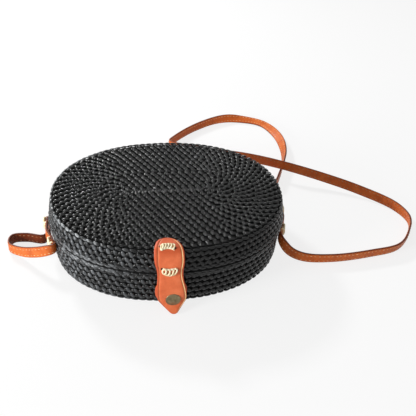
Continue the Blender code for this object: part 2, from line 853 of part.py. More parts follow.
def make_strap_end(side, name, finishes, base_shell):
    """One end of the strap, sewn to the base's end wall by two stitches."""
    place = end_place(side)
    rows = even_lines(0, end_back - end_front, end_rows)
    shape = slab(strap_end_outline(), (0, strap_thickness), [0], rows, place)
    end = make_object(shape, "strap_end_" + name, finishes["leather"])
    for spot, y in (("front", front_stitch_place), ("back", back_stitch_place)):
        size = (strap_stitch_length, strap_stitch_breadth, strap_thickness)
        title = "strap_stitch_" + name + "_" + spot
        stitch, holes = make_stitch(title, size, end_back - y, place, finishes["straw"])
        cut(end, holes)
        cut(base_shell, holes)


def make_basket(finishes):
    """The two woven halves with their hoops, linings and hinge bindings."""
    base_shell = make_base_shell(finishes["rattan"])
    lid_shell = make_lid_shell(finishes["rattan"])
    base_inner = base_inset(base_rim) + wall
    lid_inner = lid_inset(lid_rim) + wall
    base_sizes = (base_hoop_inset, base_inner, base_hoop_foot, base_rim)
    base_hoop = make_hoop("base_hoop", base_sizes, finishes["rattan"])
    lid_hoop = make_hoop("lid_hoop", (0, lid_inner, lid_rim, lid_hoop_top), finishes["rattan"])
    make_base_lining(finishes["cloth"])
    lid_lining = make_lid_lining(finishes["cloth"])
    for side, name in ((-1, "left"), (1, "right")):
        place = side * lashing_place
        make_object(lashing_shape(place, 0), "hinge_lashing_" + name, finishes["rattan"])
        channel = make_cutter(lashing_shape(place, gap), "lashing_channel_" + name)
        for piece in (base_shell, base_hoop, lid_hoop, lid_shell):
            cut(piece, [channel])
    return base_shell, lid_shell, lid_hoop, lid_lining


def build():
    """The whole bag."""
    clear_scene()
    finishes = {
        "rattan": make_material("rattan", (0.028, 0.027, 0.028), 0.45),
        "cloth": make_material("lining_cloth", (0.05, 0.045, 0.045), 0.9),
        "leather": make_material("leather", (0.60, 0.20, 0.07), 0.5),
        "straw": make_material("straw", (0.85, 0.72, 0.45), 0.6),
        "brass": make_material("brass", (0.22, 0.17, 0.09), 0.4, 1.0),
    }
    base_shell, lid_shell, lid_hoop, lid_lining = make_basket(finishes)
    tab_pieces = make_tab(finishes, [lid_shell, lid_hoop])
    flap, flap_axis = make_flap(finishes)
    cap, socket = make_snap_top(flap, *flap_axis, finishes["brass"])
    patch, patch_axis = make_patch(finishes, base_shell)
    socket_face = flap_axis[0] - flap_axis[1] * (gap + socket_depth)
    make_snap_bottom([patch, base_shell], *patch_axis, socket_face, finishes["brass"])
    for side, name in ((-1, "left"), (1, "right")):
        make_strap_end(side, name, finishes, base_shell)
    make_strap(finishes["leather"])
    hang(make_pivot("lid_pivot", hinge), [lid_shell, lid_hoop, lid_lining] + tab_pieces)
    hang(make_pivot("flap_pivot", fold), [flap, cap, socket])


build()
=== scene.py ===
import json
import random
from math import atan2, copysign, cos, dist, pi, radians, sin, sqrt, tau

import bmesh
import bpy
from mathutils import Matrix, Vector, noise
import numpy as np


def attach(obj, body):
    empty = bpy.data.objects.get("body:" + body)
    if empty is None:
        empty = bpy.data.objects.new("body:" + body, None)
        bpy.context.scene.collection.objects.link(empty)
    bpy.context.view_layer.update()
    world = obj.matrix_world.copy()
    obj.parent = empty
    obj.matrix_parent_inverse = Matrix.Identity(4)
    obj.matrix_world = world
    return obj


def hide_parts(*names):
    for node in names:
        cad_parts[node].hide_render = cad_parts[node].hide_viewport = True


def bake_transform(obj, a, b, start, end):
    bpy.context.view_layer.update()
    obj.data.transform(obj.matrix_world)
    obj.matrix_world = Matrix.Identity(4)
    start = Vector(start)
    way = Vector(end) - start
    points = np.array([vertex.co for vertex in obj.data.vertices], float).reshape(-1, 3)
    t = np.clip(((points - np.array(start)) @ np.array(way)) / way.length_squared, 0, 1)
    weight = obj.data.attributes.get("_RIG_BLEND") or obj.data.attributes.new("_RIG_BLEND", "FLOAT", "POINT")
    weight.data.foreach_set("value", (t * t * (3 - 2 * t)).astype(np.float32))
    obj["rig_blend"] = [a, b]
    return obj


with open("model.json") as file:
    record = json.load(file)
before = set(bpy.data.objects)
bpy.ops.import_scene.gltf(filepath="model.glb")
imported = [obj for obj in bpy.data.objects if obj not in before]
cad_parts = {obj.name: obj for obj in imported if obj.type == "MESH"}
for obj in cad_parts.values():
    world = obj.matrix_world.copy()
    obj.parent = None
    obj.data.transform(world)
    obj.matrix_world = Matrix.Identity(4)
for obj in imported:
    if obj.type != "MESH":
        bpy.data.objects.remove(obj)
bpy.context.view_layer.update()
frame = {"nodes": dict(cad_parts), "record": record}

chance = random.Random(7)
scene = bpy.context.scene
scene.view_settings.view_transform = "Standard"

# The camera's focal length and the photograph's width in pixels, and the sensor's width in millimetres
focal_pixels = 620
photo_pixels = 416
sensor_width = 36

# Floor and light: a lamp has a place, a target, a size and a power
floor_white = 0.80
floor_colour = (0.88, 0.88, 0.88, 1)
floor_roughness = 0.9
floor_size = 3
floor_drop = 0.0002
world_strength = 0.42
lamps = [
    ("window", (-1.1, -0.50, 0.36), (0, 0, 0.03), (0.36, 0.36), 15),
    ("skylight", (-0.50, 0.98, 0.80), (0, 0, 0.05), (0.20, 0.16), 14),
]

# The basket's sizes in metres, as in the CAD
half_length = 0.1205
half_width = 0.099
body_height = 0.065
seam_height = 0.0404
oval_power = 2.16
wall = 0.0045
gap = 0.0003
foot_inset = 0.0036
foot_radius = 0.0040
base_top_inset = 0.0022
base_hoop_inset = 0.0010
hoop_height = 0.0046
lid_foot_inset = 0.0005
rim_inset = 0.0023
rim_radius = 0.0055
base_rim = seam_height - gap / 2
lid_rim = seam_height + gap / 2
base_top = base_rim - hoop_height - gap
lid_foot = lid_rim + hoop_height + gap
hinge = Vector((0, 0.09953, seam_height))
upright = Vector((0, 0, 1))

# The strap: its route in shares of the half length, half width and rise, with its lean in degrees
strap_width = 0.0115
strap_thickness = 0.0022
strap_rise = 0.01795
strap_step = 0.003
strap_stitch_pitch = 0.0042
strap_stitch_share = 0.56
unsewn_stations = 2
# Left of this x the strap's flesh side is full dark brown, painted shade; elsewhere it takes a light share of
# the flesh tone.
flesh_shade_end = -0.105
light_flesh = 0.08
route_steps = 40
strap_route_shares = [
    (0.9535, -0.2939, 1.0, 0), (0.9436, -0.3354, 0.992, 0), (0.9618, -0.4, 0.758, 0),
    (1.0191, -0.4576, 0.345, 0), (1.1369, -0.5111, 0.056, -3), (1.3942, -0.5495, 0, -8),
    (1.7593, -0.5131, 0, -10), (2.0415, -0.4343, 0, -12), (2.2241, -0.202, 0, 0), (2.3112, 0.0303, 0, 5),
    (2.2573, 0.2929, 0.006, -8), (1.9917, 0.6182, 0.123, -15), (1.683, 0.8515, 0.362, -12),
    (1.2813, 1.0899, 0.674, -4), (0.9793, 1.3768, 0.401, -6), (0.5809, 1.6495, 0.1, -4),
    (0.2573, 1.8465, 0, 0), (0.1925, 1.9141, 0, 0), (0.249, 2.0192, 0, 0), (0.5145, 2.3232, 0, 0),
    (0.8307, 2.5384, 0, 8), (1.112, 2.5576, 0, 60), (1.3278, 2.4394, 0, 74), (1.4382, 2.0909, 0, 60),
    (1.4149, 1.5758, 0, 25), (1.2581, 1.0677, 0, 0), (1.1328, 0.8232, 0, 0), (0.9627, 0.8162, 0, 0),
    (0.5145, 1.0707, 0, 0), (-0.7303, 0.9141, 0, 0), (-1.029, 0.3636, 0, 0), (-1.0257, 0.1263, 0, 0),
    (-1.0705, 0.0475, 0, 0), (-1.2116, 0.0909, 0, 0), (-1.332, 0.0808, 0, 0), (-1.3494, -0.0455, 0, 0),
    (-1.2448, -0.1566, 0.089, 4), (-1.0938, -0.2889, 0.591, 8), (-1.0008, -0.3384, 0.914, 4),
    (-0.9676, -0.3374, 0.969, 0), (-0.9494, -0.3141, 0.997, 0), (-0.9535, -0.2949, 1.0, 0),
]
strap_corner_shares = [
    (1.0, 0.0), (0.985, 0.55), (0.93, 0.9), (0.84, 1.0), (0.76, 0.90), (0.68, 1.0), (0.34, 1.0),
]

# Laid leather: its edges and the pale line inside each, in shares of its half width and thickness
leather_edge_shares = [(1.0, 0.5), (0.995, 0.8), (0.985, 0.95)]
leather_inner_shares = [(1.0, 0.3), (0.97, 0.0), (0.5, 0.0)]
line_half_share = 0.024
line_brow_share = 0.036
line_floor_share = 0.94
line_inside_shares = [0.8, 0.4]
line_paleness = (0.15, 1.0)
plain_lines = [(0, 0.80, 0.80), (1, 0.80, 0.80)]

# The closure and the patch behind it
closure_leather = 0.0022
closure_offset = -0.0080
closure_half_width = 0.0136
tab_top_inset = 0.0191
tab_end_radius = 0.0118
tab_end_start = (0.0012, 0.00005)
tab_end_turns = [9, 17, 28, 42, 58, 75]
tab_lean = -0.0018
rim_turn_steps = 16
fold_height = 0.0424
fold_straight = 0.0025
fold_half_span = 0.0018
snap_height = 0.0148
snap_reach = 0.0048
tip_height = 0.0007
tip_reach = 0.0123
tip_drift = 0.0030
tip_drift_power = 1.5
side_steps = 6
outline_steps = 4
rim_painted_shade = 0.75
tab_line_shares = [(0.0, 0.6, 0.75), (0.25, 0.72, 0.85), (0.6, 0.74, 0.86), (1.0, 0.82, 0.82)]
flap_line_shares = [
    (0.15, 0.84, 0.84), (0.4, 0.84, 0.90), (0.58, 0.84, 0.93), (0.75, 0.86, 0.90), (1.0, 0.8, 0.8),
]
tab_flank_shares = [
    (0.32, 0.92), (0.42, 0.985), (0.54, 1.0), (0.675, 1.0), (0.79, 0.95), (0.883, 0.90), (1.0, 0.872),
]
flap_outline_shares = [
    (0.08, 0.868), (0.17, 0.89), (0.29, 0.945), (0.43, 0.995), (0.58, 0.995), (0.68, 0.92), (0.735, 0.81),
    (0.84, 0.60), (0.92, 0.40), (0.975, 0.24), (0.995, 0.12), (1.0, 0.02),
]
flap_side_shares = [(0.587, 0.55), (0.26, 1.10)]
tip_side_shares = [(0.50, 0.10), (0.24, 0.40)]
patch_leather = 0.0020
patch_offset = -0.0066
patch_half_width = 0.0149
patch_top = 0.0300
patch_bottom = 0.0044
patch_power = 2.7
patch_steps = 32

# The strap's sewn ends
end_back = 0.0105
end_front = -0.0280
end_back_height = 0.0284
end_front_height = 0.0240
end_bulge = 0.0018
end_front_stand_off = 0.0016
end_back_stand_off = 0.0046
end_lean_share = -0.12
end_turns = [8, 20, 35, 52, 70, 90]
end_steps = 24
back_stitch_place = 0.0040
front_stitch_place = -0.0235

# The stitches that hold the leather: length, breadth, loops, and the arch and belly of the row of loops
upper_stitch = (0.0140, 0.0056, 5, 0.0014, 0.0)
upper_stitch_spot = (-0.0010, 0.0116)
lower_stitch = (0.0142, 0.0062, 4, -0.0008, 0.8)
lower_stitch_across = -0.0006
patch_stitch = (0.0140, 0.0040, 6, 0.0, 0.0)
patch_stitch_spot = (0, 0.0044)
end_stitch = (0.0112, 0.0084, 3, 0.0, 0.0)

# Their cord and its holes, in shares of the breadth, of the loops' spacing and of the cord's radius
cord_share = 0.135
cord_sides = 7
loop_steps = 14
loop_margin_share = 0.75
loop_width_share = 0.50
loop_lean_share = 0.35
loop_rise_shares = (1.1, 0.8)
strand_steps = 16
strand_share = 0.8
strand_rise_shares = (0.8, 0.3)
strand_dip_share = 3
strand_dip_start = 0.8
hole_place_shares = [(-1, -0.25), (1, 0.05)]
hole_setback_share = 0.7
hole_shares = (1.3, 1.1)
hole_depth = 0.0003
hole_lift = 0.00005
hole_sides = 12

# The press stud: sides by radius and rise. The cap's radii are shares, the stud's foot rises from the
# patch's face and its knob from the knob's top
snap_offset = -0.0057
snap_sides = 36
cap_radius = 0.0070
cap_side = [
    (0, 0.0001), (0.96, 0.0001), (1.0, 0.0003), (1.01, 0.0006), (0.99, 0.0009), (0.93, 0.0010),
    (0.86, 0.0009), (0.80, 0.0009), (0.6, 0.0012), (0.3, 0.0014), (0, 0.00145),
]
socket_mouth = -0.0018
socket_side = [
    (0, -0.0003), (0.0050, -0.0003), (0.0054, -0.0006), (0.0054, -0.0015), (0.0050, socket_mouth),
    (0.0034, socket_mouth), (0.0029, -0.0015), (0.0029, -0.0010), (0, -0.0010),
]
knob_clearance = 0.0005
stud_foot_side = [
    (0, 0.0003), (0.0048, 0.0003), (0.0050, 0.0006), (0.0048, 0.0010), (0.0026, 0.0011), (0.0019, 0.0014),
]
knob_side = [(0.0019, -0.0010), (0.0022, -0.0006), (0.0019, -0.0001), (0, 0)]
post_radius = 0.0015
post_side = [(0, -0.0010), (0.0044, -0.0010), (0.0046, -0.0007), (0.0046, -0.0003), (post_radius, -0.0003)]

# The hinge's bindings and the linings
lashing_share = 0.1825
lashing_reach = 0.0044
lashing_pitch = 0.00175
lashing_turns = 4
lashing_steps = 20
lashing_cord_share = 0.53
lashing_lean_share = 0.2
lining_thickness = 0.0008
lining_setback = 0.0025
lining_corner = 0.0025
ripple_share = 0.006
ripple_scale = 38

# The cores of the two halves and of their hoops
recess = 0.0021
corner_steps = 6
inner_corner = 0.0025
hoop_core_inset = 0.0010
hoop_core_corner = 0.0012

# The weave's rows of stitches
oval_sides = 180
spine_reach = 0.040
top_row_count = 14
top_edge_share = 0.904
top_middle_share = 0.033
top_pitch = 0.0071
group_starts = [0, 5, 9, 12, 14]
row_shift = 0.5
spine_share = 0.002
spine_stitches = 24
wall_stitches = 95
edge_phase = 0.25

# Strands of cane and thread: slant and pitch in degrees, along in stitches, the rest in metres
strand_rounds = (7, 6)
size_variation = 0.07
slant_variation = 0.08
rise_variation = 0.0001
high_strand = {"size": (0.0062, 0.0038, 0.0032), "slant": 32, "pitch": -8}
low_strand = {"size": (0.0070, 0.0040, 0.0026), "slant": -62, "lift": -0.0003, "along": 0.27, "out": 0.0033}
spine_strand = {**low_strand, "out": 0.000033}
wall_high_strand = {"size": (0.0068, 0.0045, 0.0029), "slant": 56}
wall_low_strand = {"size": (0.0066, 0.0036, 0.0024), "slant": -40, "lift": -0.0004, "along": 0.5, "finish": 1}
foot_strand = {"size": (0.0078, 0.0030, 0.0024), "slant": 10}
rim_strand = {**foot_strand, "lift": 0.0004}
hoop_strand = {"size": (0.0078, 0.0028, 0.0022), "slant": 5, "lift": 0.0002, "finish": 1}
sewing_strand = {"size": (0.0024, 0.0007, 0.0005), "lift": 0.0003}

# Rows round the walls and edges: inset, height and tilt in degrees, a hoop's heights from its foot
skirt_row_heights = [0.0586, 0.0530, 0.0476]
skirt_tilt = 7
side_row_heights = [0.0322, 0.0260, 0.0198, 0.0136, 0.0074]
side_tilt = -3
rim_row = (0.0039, 0.0634, 50)
foot_row = (0.0050, 0.0014, -45)
lid_hoop_rows = [(0.0003, 0.0023, 0), (0.0003, 0.0042, 5)]
base_hoop_rows = [(base_hoop_inset, 0.0003, 0), (base_hoop_inset, 0.0023, 0)]


# Camera, floor and light

def add_object(name, data):
    """A new object in the scene."""
    made = bpy.data.objects.new(name, data)
    scene.collection.objects.link(made)
    return made


def add_node(tree, kind, **values):
    """A new shader node, with inputs set by name."""
    made = tree.nodes.new("ShaderNode" + kind)
    for name, value in values.items():
        made.inputs[name].default_value = value
    return made


def as_mesh(shape, name):
    """A mesh of a bmesh, which is freed."""
    mesh = bpy.data.meshes.new(name)
    shape.to_mesh(mesh)
    shape.free()
    return mesh


def place_camera():
    """The camera at the photograph's angle."""
    eye = Vector((-0.0600, -0.5151, 0.4257))
    right = Vector((0.9862, -0.1566, 0.0532))
    up = Vector((0.0508, 0.5931, 0.8035))
    back = -Vector((0.1574, 0.7897, -0.5929))
    data = bpy.data.cameras.new("camera")
    data.sensor_width = sensor_width
    data.lens = focal_pixels / photo_pixels * sensor_width
    data.clip_start = 0.02
    data.clip_end = 20
    scene.camera = add_object("camera", data)
    scene.camera.matrix_world = Matrix.Translation(eye) @ Matrix((right, up, back)).transposed().to_4x4()


def add_lamp(name, place, target, size, power):
    """A square soft lamp that looks at a target."""
    data = bpy.data.lights.new(name, "AREA")
    data.shape = "RECTANGLE"
    data.size, data.size_y = size
    data.energy = power
    aim = (Vector(target) - Vector(place)).to_track_quat("-Z", "Y")
    add_object(name, data).matrix_world = Matrix.Translation(place) @ aim.to_matrix().to_4x4()


def seen_ray(tree):
    """One for the rays of the camera and of reflections, and zero for the others."""
    path = add_node(tree, "LightPath")
    seen = path.outputs["Is Camera Ray"]
    for other in ("Is Glossy Ray", "Is Transmission Ray"):
        either = add_node(tree, "Math")
        either.operation = "MAXIMUM"
        tree.links.new(seen, either.inputs[0])
        tree.links.new(path.outputs[other], either.inputs[1])
        seen = either.outputs[0]
    return seen


def mix_shaders(tree, share, first, second, out):
    """Two shaders, mixed by a share, into an output."""
    mix = add_node(tree, "MixShader")
    tree.links.new(share, mix.inputs[0])
    tree.links.new(first.outputs[0], mix.inputs[1])
    tree.links.new(second.outputs[0], mix.inputs[2])
    tree.links.new(mix.outputs[0], out.inputs[0])


def light_stage():
    """A white world, a pale floor and soft lamps."""
    world = bpy.data.worlds.new("studio")
    scene.world = world
    world.use_nodes = True
    tree = world.node_tree
    tree.nodes.clear()
    fill = add_node(tree, "Background", Strength=world_strength)
    mix_shaders(tree, seen_ray(tree), fill, add_node(tree, "Background"), add_node(tree, "OutputWorld"))
    for lamp in lamps:
        add_lamp(*lamp)
    shape = bmesh.new()
    bmesh.ops.create_grid(shape, x_segments=1, y_segments=1, size=floor_size)
    floor = add_object("floor", as_mesh(shape, "floor"))
    floor.location = (0, 0, -floor_drop)
    finish = Finish("floor", floor_roughness)
    finish.shader.inputs["Base Color"].default_value = floor_colour
    tree = finish.tree
    share = add_node(tree, "Math")
    share.operation = "MULTIPLY"
    share.inputs[1].default_value = floor_white
    tree.links.new(seen_ray(tree), share.inputs[0])
    out = tree.nodes["Material Output"]
    mix_shaders(tree, share.outputs[0], finish.shader, add_node(tree, "Emission"), out)
    floor.data.materials.append(finish.material)


# Finishes

class Finish:
    """A material and the few nodes that its pattern is made from."""

    def __init__(self, name, roughness=0.5, metallic=0.0):
        self.material = bpy.data.materials.new(name)
        self.material.use_nodes = True
        self.tree = self.material.node_tree
        self.shader = self.tree.nodes["Principled BSDF"]
        self.shader.inputs["Roughness"].default_value = roughness
        self.shader.inputs["Metallic"].default_value = metallic
        self.bumped = None

    def link(self, source, target):
        self.tree.links.new(source, target)

    def place(self, scale=(1, 1, 1)):
        """Object coordinates, scaled."""
        coordinates = add_node(self.tree, "TexCoord")
        mapping = add_node(self.tree, "Mapping", Scale=scale)
        self.link(coordinates.outputs["Object"], mapping.inputs["Vector"])
        return mapping.outputs[0]

    def attribute(self, name):
        """The marks of that name on the mesh."""
        found = add_node(self.tree, "Attribute")
        found.attribute_name = name
        return found.outputs["Fac"]

    def noise(self, place, scale, detail=3, roughness=0.5):
        made = add_node(self.tree, "TexNoise", Scale=scale, Detail=detail, Roughness=roughness)
        self.link(place, made.inputs["Vector"])
        return made.outputs["Fac"]

    def cells(self, place, scale):
        made = add_node(self.tree, "TexVoronoi", Scale=scale)
        self.link(place, made.inputs["Vector"])
        return made.outputs["Distance"]

    def ramp(self, value, stops):
        """Numbers or colours by value; a number is a grey."""
        made = add_node(self.tree, "ValToRGB")
        points = made.color_ramp.elements
        while len(points) < len(stops):
            points.new(0.5)
        for point, (place, colour) in zip(points, stops):
            point.position = place
            point.color = (*colour, 1) if isinstance(colour, tuple) else (colour, colour, colour, 1)
        self.link(value, made.inputs[0])
        return made.outputs[0]

    def mix(self, share, first, second, kind="MIX"):
        made = add_node(self.tree, "Mix")
        made.data_type = "RGBA"
        made.blend_type = kind
        for socket, value in (("Factor_Float", share), ("A_Color", first), ("B_Color", second)):
            target = next(item for item in made.inputs if item.identifier == socket)
            if isinstance(value, bpy.types.NodeSocket):
                self.link(value, target)
            else:
                target.default_value = (*value, 1) if isinstance(value, tuple) else value
        return next(item for item in made.outputs if item.identifier == "Result_Color")

    def bump(self, height, distance, strength=1.0):
        made = add_node(self.tree, "Bump", Distance=distance, Strength=strength)
        self.link(height, made.inputs["Height"])
        if self.bumped:
            self.link(self.bumped, made.inputs["Normal"])
        self.bumped = made.outputs[0]
        self.link(self.bumped, self.shader.inputs["Normal"])

    def colour(self, value):
        self.link(value, self.shader.inputs["Base Color"])

    def rough(self, value):
        self.link(value, self.shader.inputs["Roughness"])


def make_black_cane(name, sheen_tone=None, start=0.0):
    """Rattan stained black: nearly black, with a dull gloss and fine fibres.

    The given tone is a painted sheen: a paler tone at the bag's left end, from a start on, broken into
    specks.
    """
    finish = Finish(name, 0.4)
    place = finish.place()
    dust = finish.noise(place, 55, 4, 0.6)
    tone = finish.ramp(dust, [(0.3, 0.003), (0.55, 0.006), (0.8, (0.013, 0.013, 0.012))])
    if sheen_tone is not None:
        # Painted sheen: the tone pales towards the bag's left end and is broken into specks by a noise.
        split = add_node(finish.tree, "SeparateXYZ")
        finish.link(finish.place((-4, 1, 1)), split.inputs[0])
        side = finish.ramp(split.outputs["X"], [(start, 0.0), (0.37, 1.0), (0.42, 0.9), (0.475, 0.2)])
        sheen_specks = finish.ramp(finish.noise(place, 170, 2), [(0.42, 0.10), (0.60, 1.0)])
        side = finish.mix(1.0, side, sheen_specks, "MULTIPLY")
        tone = finish.mix(side, tone, sheen_tone)
    fine = finish.noise(place, 900, 2)
    finish.colour(finish.mix(0.35, tone, finish.ramp(fine, [(0.3, 0.55), (0.7, 1.0)]), "MULTIPLY"))
    finish.rough(finish.ramp(finish.noise(place, 300, 3), [(0.3, 0.16), (0.7, 0.28)]))
    finish.bump(finish.noise(finish.place((500, 500, 500)), 1.5, 2), 0.0002, 0.5)
    finish.shader.inputs["Specular IOR Level"].default_value = 0.3
    return finish.material


def make_cane_shadow():
    """The dark gaps of the weave."""
    finish = Finish("cane_shadow", 0.8)
    finish.shader.inputs["Specular IOR Level"].default_value = 0.1
    finish.colour(finish.ramp(finish.noise(finish.place(), 400, 2), [(0.3, 0.004), (0.7, 0.010)]))
    return finish.material


def make_leather(name, tones, roughness, shine, edge_and_shade_tone):
    """Tan leather: cloudy, finely grained, darker at its edges and brown on its flesh side; both marks also
    carry painted shade.
    """
    finish = Finish(name, roughness)
    place = finish.place()
    cloud = finish.noise(place, 90, 4, 0.6)
    colour = finish.ramp(cloud, list(zip((0.3, 0.5, 0.72), tones)))
    for mark, tint in (("flesh", (0.28, 0.21, 0.14)), ("edge", edge_and_shade_tone)):
        colour = finish.mix(finish.attribute(mark), colour, finish.mix(1.0, colour, tint, "MULTIPLY"))
    finish.colour(finish.mix(finish.attribute("crease"), colour, (1.0, 0.72, 0.34)))
    finish.rough(finish.ramp(cloud, [(0.3, roughness - 0.08), (0.7, roughness + 0.08)]))
    finish.shader.inputs["Specular IOR Level"].default_value = shine
    finish.bump(finish.cells(place, 1300), 0.00012, 0.5)
    finish.bump(finish.noise(place, 250, 3), 0.0004, 0.3)
    return finish.material


def make_straw(name, shares):
    """Straw cord or thread with fibres: straw yellow, with a share of its red, green and blue."""
    finish = Finish(name, 0.5)
    place = finish.place()
    tones = [(0.68, 0.50, 0.24), (0.92, 0.80, 0.52), (1.0, 0.94, 0.72)]
    tones = [tuple(part * share for part, share in zip(tone, shares)) for tone in tones]
    finish.colour(finish.ramp(finish.noise(place, 260, 3), list(zip((0.3, 0.5, 0.7), tones))))
    finish.bump(finish.noise(place, 1500, 2), 0.0003, 0.6)
    return finish.material


def make_brass():
    """Antique brass, brown in its scratches."""
    finish = Finish("antique_brass", 0.38, 0.9)
    place = finish.place()
    tone = finish.ramp(finish.noise(place, 350, 4), [(0.3, (0.15, 0.115, 0.06)), (0.7, (0.28, 0.225, 0.13))])
    finish.colour(tone)
    finish.bump(finish.noise(place, 700, 3), 0.0001, 0.4)
    return finish.material


def make_cloth():
    """Dark cotton with a fine plain weave."""
    finish = Finish("lining_cloth", 0.9)
    place = finish.place()
    tones = [(0.3, (0.045, 0.040, 0.038)), (0.7, (0.075, 0.068, 0.062))]
    finish.colour(finish.ramp(finish.noise(place, 60, 4), tones))
    finish.bump(finish.cells(place, 1400), 0.0002, 0.5)
    return finish.material


# Shared shapes

def between(first, second, share):
    """A value or point that share of the way from the first to the second."""
    return first + (second - first) * share


def neighbours(items, index, joined=False):
    """The items before and after one; at an end it is its own neighbour, unless the row is joined."""
    if joined:
        return items[index - 1], items[(index + 1) % len(items)]
    return items[max(index - 1, 0)], items[min(index + 1, len(items) - 1)]


def finished(shape, name, finish, body, slot, *stands_for):
    """Makes a bmesh a named piece, which rides on a body and stands for nodes of the CAD."""
    piece = add_object(name, as_mesh(shape, name))
    piece.data.shade_smooth()
    for one in finish if isinstance(finish, list) else [finish]:
        piece.data.materials.append(one)
    if body:
        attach(piece, body)
    if stands_for:
        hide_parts(*stands_for)
    return piece


def sweep(rings, joined=False, marks=None):
    """Extrudes a ring of points through others, and caps its ends or joins them.

    Marks are the values of each ring's points, for the finishes to read.
    """
    shape = bmesh.new()
    layers = [(shape.verts.layers.float.new(name), values) for name, values in (marks or {}).items()]
    ring = [shape.verts.new(point) for point in rings[0]]
    first = [shape.edges.new(pair) for pair in zip(ring, ring[1:] + ring[:1])]
    marked = [ring]
    start = list(ring)
    edges = first
    for points in rings[1:]:
        grown = bmesh.ops.extrude_edge_only(shape, edges=edges)["geom"]
        follow = {tuple(item.co): item for item in grown if isinstance(item, bmesh.types.BMVert)}
        ring = [follow[tuple(corner.co)] for corner in ring]
        edges = [shape.edges.get(pair) for pair in zip(ring, ring[1:] + ring[:1])]
        for corner, point in zip(ring, points):
            corner.co = point
        marked.append(ring)
    for layer, values in layers:
        for corners, row in zip(marked, values):
            for corner, value in zip(corners, row):
                corner[layer] = value
    if joined:
        bmesh.ops.bridge_loops(shape, edges=first + edges)
    else:
        shape.faces.new(start)
        shape.faces.new(ring)
    shape.normal_update()
    bmesh.ops.recalc_face_normals(shape, faces=shape.faces)
    return shape


def mixed_corner(corners, times, now):
    """One point of the smooth curve, by mixing four corners in pairs."""
    level = corners
    for width in (1, 2, 3):
        mixed = []
        for index, pair in enumerate(zip(level, level[1:])):
            start, end = (times[1], times[2]) if width == 3 else (times[index], times[index + width])
            mixed.append([between(*parts, (now - start) / (end - start)) for parts in zip(*pair)])
        level = mixed
    return level[0]


def smooth_through(points, steps):
    """Points on a smooth curve through the given ones, spaced by the square root of their distance."""
    first = [2 * near - far for near, far in zip(points[0], points[1])]
    last = [2 * near - far for near, far in zip(points[-1], points[-2])]
    whole = [first, *points, last]
    found = []
    for index in range(len(points) - 1):
        corners = whole[index:index + 4]
        times = [0]
        for near, far in zip(corners, corners[1:]):
            times.append(times[-1] + sqrt(dist(near[:2], far[:2])))
        for step in range(steps):
            found.append(mixed_corner(corners, times, between(times[1], times[2], step / steps)))
    return found + [points[-1]]


# The strap

def strap_stations(step):
    """Places along the strap a step apart: place, across, outward and distance."""
    route = []
    for x, y, lift, lean in strap_route_shares:
        route.append((x * half_length, y * half_width, lift * strap_rise, lean))
    spots = []
    for x, y, lift, lean in smooth_through(route, route_steps):
        angle = radians(lean)
        resting = strap_width / 2 * cos(angle) + strap_thickness / 2 * abs(sin(angle)) + gap
        spots.append((Vector((x, y, resting + lift)), angle))
    stations = []
    distance = 0
    last = -step
    for index, (place, lean) in enumerate(spots):
        before, after = [spot[0] for spot in neighbours(spots, index)]
        if index:
            distance += (place - before).length
        if distance - last < step and index != len(spots) - 1:
            continue
        last = distance
        ahead = (after - before).normalized()
        left = upright.cross(ahead).normalized()
        top = ahead.cross(left).normalized()
        wide = top * cos(lean) + left * sin(lean)
        thick = left * cos(lean) - top * sin(lean)
        stations.append((place, wide, thick, distance))
    return stations


def make_strap(leather, threads):
    """The long strap, which rests on its edge along its route, and the thread sewn along its edges."""
    stations = strap_stations(strap_step)
    half_wide = strap_width / 2
    half_thick = strap_thickness / 2
    corner = strap_corner_shares
    half_section = corner + [(0.0, 1.0)] + [(-wide, thick) for wide, thick in reversed(corner)]
    section = half_section + [(-wide, -thick) for wide, thick in half_section[1:-1]]
    rings = []
    for place, wide, thick, distance in stations:
        rings.append([place + wide * (half_wide * one) + thick * (half_thick * two) for one, two in section])
    flesh = [1.0 if thick > 0.5 else 0.0 for wide, thick in section]
    edge = [1.0 if abs(wide) > 0.95 else 0.5 if abs(wide) > 0.9 else 0.0 for wide, thick in section]
    # Painted shade: the flesh side is full dark brown at the left end, and only lightly tinted elsewhere.
    flesh_and_shade = [1.0 if station[0].x < flesh_shade_end else light_flesh for station in stations]
    marks = {"flesh": [[dark * value for value in flesh] for dark in flesh_and_shade], "edge": [edge] * len(rings)}
    piece = finished(sweep(rings, marks=marks), "strap_leather", leather, "base", "leather", "shoulder_strap")
    for name, face, thread in (("grain", -1, threads[0]), ("flesh", 1, threads[1])):
        frames = []
        sewn_stations = strap_stations(strap_stitch_pitch)[unsewn_stations:-unsewn_stations]
        for place, wide, thick, distance in sewn_stations:
            for row in (-1, 1):
                out = thick * face
                frame_at = Matrix([wide.cross(out), wide, out]).transposed().to_4x4()
                across = wide * (row * half_wide * strap_stitch_share)
                frame_at.translation = place + across + thick * (face * half_thick)
                frames.append(frame_at)
        shape = bmesh.new()
        lay_strands(shape, frames, **sewing_strand)
        finished(shape, "strap_sewing_" + name, thread, "base", "straw")


# Leather laid on the walls

def plan_spot(reach, side, x=None, y=None):
    """Point and outward direction, seen from above, on the oval brought out by a reach.

    One coordinate is given, and the side is the sign of the other.
    """
    long, wide = half_length + reach, half_width + reach
    if x is None:
        x = side * long * (1 - abs(y / wide) ** oval_power) ** (1 / oval_power)
    else:
        y = side * wide * (1 - abs(x / long) ** oval_power) ** (1 / oval_power)
    outward = [copysign(abs(at / size) ** (oval_power - 1) / size, at) for at, size in ((x, long), (y, wide))]
    return Vector((x, y, 0)), Vector((*outward, 0)).normalized()


def round_end(radius, turns):
    """The stations of a round end, by its turns in degrees."""
    return [(radius * sin(radians(turn)), radius * (1 - cos(radians(turn)))) for turn in turns]


def with_distance(samples):
    """Gives each sample (reach, height) of a side view its distance along it and its outward tilt."""
    distance = 0
    rows = []
    for index, (reach, height) in enumerate(samples):
        before, after = neighbours(samples, index)
        distance += dist(before, (reach, height))
        rows.append((distance, reach, height, atan2(after[0] - before[0], before[1] - after[1])))
    return rows


